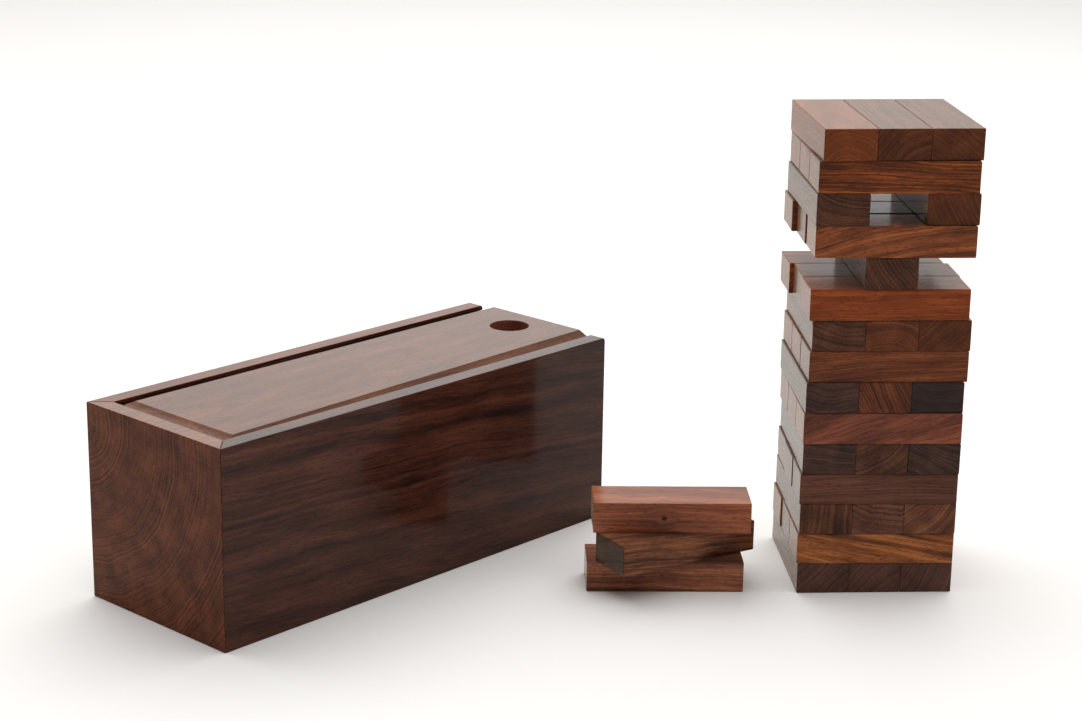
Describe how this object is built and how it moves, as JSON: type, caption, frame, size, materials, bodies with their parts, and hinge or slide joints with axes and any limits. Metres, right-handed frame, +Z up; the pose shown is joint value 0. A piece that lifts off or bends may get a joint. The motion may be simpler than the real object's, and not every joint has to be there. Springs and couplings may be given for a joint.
{
  "type": "stacking tower game set",
  "caption": "Wooden stacking-tower game set: a part-played tower of equal blocks, a loose pile of blocks, and a lidded storage case.",
  "frame": {"origin": "centre of the tower's base, under the middle block of the bottom level, on the table", "axes": "+X along the long sides of the even levels, away from the case; -Y towards the front, the side the bottom level's end grain faces; +Z up the tower"},
  "size_m": [0.4103, 0.2423, 0.225],
  "materials": {
    "rosewood_near_black": "satin",
    "rosewood_dark": "satin",
    "rosewood_red": "satin",
    "rosewood_warm": "satin",
    "rosewood_golden": "satin",
    "case_lacquered": "gloss",
    "case_end_lacquered": "gloss",
    "lid_lacquered": "gloss"
  },
  "bodies": {
    "case": {"case_bottom": "case_lacquered", "case_front_side": "case_lacquered", "case_back_side": "case_lacquered", "case_closed_end": "case_end_lacquered", "case_pull_end": "case_lacquered"},
    "lid": {"case_lid": "lid_lacquered"},
    "level_01_left": {"level_01_left": "rosewood_near_black"},
    "level_01_middle": {"level_01_middle": "rosewood_near_black"},
    "level_01_right": {"level_01_right": "rosewood_near_black"},
    "level_02_front": {"level_02_front": "rosewood_golden"},
    "level_02_middle": {"level_02_middle": "rosewood_warm"},
    "level_02_back": {"level_02_back": "rosewood_golden"},
    "level_03_left": {"level_03_left": "rosewood_dark"},
    "level_03_middle": {"level_03_middle": "rosewood_dark"},
    "level_03_right": {"level_03_right": "rosewood_warm"},
    "level_04_front": {"level_04_front": "rosewood_dark"},
    "level_04_middle": {"level_04_middle": "rosewood_dark"},
    "level_04_back": {"level_04_back": "rosewood_dark"},
    "level_05_left": {"level_05_left": "rosewood_near_black"},
    "level_05_middle": {"level_05_middle": "rosewood_dark"},
    "level_05_right": {"level_05_right": "rosewood_near_black"},
    "level_06_front": {"level_06_front": "rosewood_red"},
    "level_06_middle": {"level_06_middle": "rosewood_red"},
    "level_06_back": {"level_06_back": "rosewood_red"},
    "level_07_left": {"level_07_left": "rosewood_near_black"},
    "level_07_middle": {"level_07_middle": "rosewood_warm"},
    "level_07_right": {"level_07_right": "rosewood_near_black"},
    "level_08_front": {"level_08_front": "rosewood_red"},
    "level_08_middle": {"level_08_middle": "rosewood_red"},
    "level_08_back": {"level_08_back": "rosewood_red"},
    "level_09_left": {"level_09_left": "rosewood_near_black"},
    "level_09_middle": {"level_09_middle": "rosewood_warm"},
    "level_09_right": {"level_09_right": "rosewood_dark"},
    "level_10_front": {"level_10_front": "rosewood_red"},
    "level_10_middle": {"level_10_middle": "rosewood_warm"},
    "level_10_back": {"level_10_back": "rosewood_red"},
    "level_11_middle": {"level_11_middle": "rosewood_dark"},
    "level_12_front": {"level_12_front": "rosewood_golden"},
    "level_12_middle": {"level_12_middle": "rosewood_warm"},
    "level_12_back": {"level_12_back": "rosewood_warm"},
    "level_13_left": {"level_13_left": "rosewood_near_black"},
    "level_13_right": {"level_13_right": "rosewood_dark"},
    "level_14_front": {"level_14_front": "rosewood_red"},
    "level_14_middle": {"level_14_middle": "rosewood_red"},
    "level_14_back": {"level_14_back": "rosewood_red"},
    "level_15_left": {"level_15_left": "rosewood_warm"},
    "level_15_middle": {"level_15_middle": "rosewood_dark"},
    "level_15_right": {"level_15_right": "rosewood_dark"},
    "pile_bottom": {"pile_bottom": "rosewood_dark"},
    "pile_middle": {"pile_middle": "rosewood_warm"},
    "pile_top": {"pile_top": "rosewood_red"}
  },
  "joints": [
    {"name": "lid_slide", "type": "slide", "parent": "case", "child": "lid", "axis": [0.7254, 0.6884, 0], "range_m": [0, 0.25]},
    {"name": "level_01_left_slide", "type": "slide", "parent": "case", "child": "level_01_left", "axis": [0, -1, 0], "range_m": [-0.08, 0.08]},
    {"name": "level_01_middle_slide", "type": "slide", "parent": "case", "child": "level_01_middle", "axis": [0, -1, 0], "range_m": [-0.08, 0.08]},
    {"name": "level_01_right_slide", "type": "slide", "parent": "case", "child": "level_01_right", "axis": [0, -1, 0], "range_m": [-0.08, 0.08]},
    {"name": "level_02_front_slide", "type": "slide", "parent": "case", "child": "level_02_front", "axis": [0.9999, -0.0122, 0], "range_m": [0, 0.08]},
    {"name": "level_02_middle_slide", "type": "slide", "parent": "case", "child": "level_02_middle", "axis": [0.9999, -0.0122, 0], "range_m": [0, 0.08]},
    {"name": "level_02_back_slide", "type": "slide", "parent": "case", "child": "level_02_back", "axis": [0.9999, -0.0122, 0], "range_m": [0, 0.08]},
    {"name": "level_03_left_slide", "type": "slide", "parent": "case", "child": "level_03_left", "axis": [-0.007, -1, 0], "range_m": [-0.08, 0.08]},
    {"name": "level_03_middle_slide", "type": "slide", "parent": "case", "child": "level_03_middle", "axis": [-0.007, -1, 0], "range_m": [-0.08, 0.08]},
    {"name": "level_03_right_slide", "type": "slide", "parent": "case", "child": "level_03_right", "axis": [-0.007, -1, 0], "range_m": [-0.08, 0.08]},
    {"name": "level_04_front_slide", "type": "slide", "parent": "case", "child": "level_04_front", "axis": [0.9998, -0.0175, 0], "range_m": [0, 0.08]},
    {"name": "level_04_middle_slide", "type": "slide", "parent": "case", "child": "level_04_middle", "axis": [0.9998, -0.0175, 0], "range_m": [0, 0.08]},
    {"name": "level_04_back_slide", "type": "slide", "parent": "case", "child": "level_04_back", "axis": [0.9998, -0.0175, 0], "range_m": [0, 0.08]},
    {"name": "level_05_left_slide", "type": "slide", "parent": "case", "child": "level_05_left", "axis": [-0.0192, -0.9998, 0], "range_m": [-0.08, 0.08]},
    {"name": "level_05_middle_slide", "type": "slide", "parent": "case", "child": "level_05_middle", "axis": [-0.0192, -0.9998, 0], "range_m": [-0.08, 0.08]},
    {"name": "level_05_right_slide", "type": "slide", "parent": "case", "child": "level_05_right", "axis": [-0.0192, -0.9998, 0], "range_m": [-0.08, 0.08]},
    {"name": "level_06_front_slide", "type": "slide", "parent": "case", "child": "level_06_front", "axis": [0.9999, -0.0122, 0], "range_m": [-0.08, 0.08]},
    {"name": "level_06_middle_slide", "type": "slide", "parent": "case", "child": "level_06_middle", "axis": [0.9999, -0.0122, 0], "range_m": [-0.08, 0.08]},
    {"name": "level_06_back_slide", "type": "slide", "parent": "case", "child": "level_06_back", "axis": [0.9999, -0.0122, 0], "range_m": [-0.08, 0.08]},
    {"name": "level_07_left_slide", "type": "slide", "parent": "case", "child": "level_07_left", "axis": [0, -1, 0], "range_m": [-0.08, 0.08]},
    {"name": "level_07_middle_slide", "type": "slide", "parent": "case", "child": "level_07_middle", "axis": [0, -1, 0], "range_m": [-0.08, 0.08]},
    {"name": "level_07_right_slide", "type": "slide", "parent": "case", "child": "level_07_right", "axis": [0, -1, 0], "range_m": [-0.08, 0.08]},
    {"name": "level_08_front_slide", "type": "slide", "parent": "case", "child": "level_08_front", "axis": [1, 0, 0], "range_m": [-0.08, 0.08]},
    {"name": "level_08_middle_slide", "type": "slide", "parent": "case", "child": "level_08_middle", "axis": [1, 0, 0], "range_m": [-0.08, 0.08]},
    {"name": "level_08_back_slide", "type": "slide", "parent": "case", "child": "level_08_back", "axis": [1, 0, 0], "range_m": [-0.08, 0.08]},
    {"name": "level_09_left_slide", "type": "slide", "parent": "case", "child": "level_09_left", "axis": [-0.0017, -1, 0], "range_m": [-0.08, 0.08]},
    {"name": "level_09_middle_slide", "type": "slide", "parent": "case", "child": "level_09_middle", "axis": [-0.0017, -1, 0], "range_m": [-0.08, 0.08]},
    {"name": "level_09_right_slide", "type": "slide", "parent": "case", "child": "level_09_right", "axis": [-0.0017, -1, 0], "range_m": [-0.08, 0.08]},
    {"name": "level_10_front_slide", "type": "slide", "parent": "case", "child": "level_10_front", "axis": [1, 0.0035, 0], "range_m": [-0.08, 0.08]},
    {"name": "level_10_middle_slide", "type": "slide", "parent": "case", "child": "level_10_middle", "axis": [1, 0.0035, 0], "range_m": [-0.08, 0.08]},
    {"name": "level_10_back_slide", "type": "slide", "parent": "case", "child": "level_10_back", "axis": [1, 0.0035, 0], "range_m": [-0.08, 0.08]},
    {"name": "level_11_middle_slide", "type": "slide", "parent": "case", "child": "level_11_middle", "axis": [0, -1, 0], "range_m": [-0.012, 0.012]},
    {"name": "level_12_front_slide", "type": "slide", "parent": "case", "child": "level_12_front", "axis": [1, -0.0087, 0], "range_m": [-0.08, 0.08]},
    {"name": "level_12_middle_slide", "type": "slide", "parent": "case", "child": "level_12_middle", "axis": [1, -0.0087, 0], "range_m": [-0.08, 0.08]},
    {"name": "level_12_back_slide", "type": "slide", "parent": "case", "child": "level_12_back", "axis": [1, -0.0087, 0], "range_m": [-0.08, 0.08]},
    {"name": "level_13_left_slide", "type": "slide", "parent": "case", "child": "level_13_left", "axis": [0.0157, -0.9999, 0], "range_m": [-0.012, 0.012]},
    {"name": "level_13_right_slide", "type": "slide", "parent": "case", "child": "level_13_right", "axis": [0.0157, -0.9999, 0], "range_m": [-0.012, 0.012]},
    {"name": "level_14_front_slide", "type": "slide", "parent": "case", "child": "level_14_front", "axis": [0.9999, 0.0105, 0], "range_m": [-0.08, 0.08]},
    {"name": "level_14_middle_slide", "type": "slide", "parent": "case", "child": "level_14_middle", "axis": [0.9999, 0.0105, 0], "range_m": [-0.08, 0.08]},
    {"name": "level_14_back_slide", "type": "slide", "parent": "case", "child": "level_14_back", "axis": [0.9999, 0.0105, 0], "range_m": [-0.08, 0.08]},
    {"name": "level_15_left_lift", "type": "slide", "parent": "case", "child": "level_15_left", "axis": [0, 0, 1], "range_m": [0, 0.06]},
    {"name": "level_15_middle_lift", "type": "slide", "parent": "case", "child": "level_15_middle", "axis": [0, 0, 1], "range_m": [0, 0.06]},
    {"name": "level_15_right_lift", "type": "slide", "parent": "case", "child": "level_15_right", "axis": [0, 0, 1], "range_m": [0, 0.06]},
    {"name": "pile_bottom_slide", "type": "slide", "parent": "case", "child": "pile_bottom", "axis": [-0.9994, 0.0349, 0], "range_m": [-0.018, 0.06]},
    {"name": "pile_middle_slide", "type": "slide", "parent": "case", "child": "pile_middle", "axis": [-0.8878, -0.4602, 0], "range_m": [-0.012, 0.08]},
    {"name": "pile_top_lift", "type": "slide", "parent": "case", "child": "pile_top", "axis": [0, 0, 1], "range_m": [0, 0.06]}
  ]
}
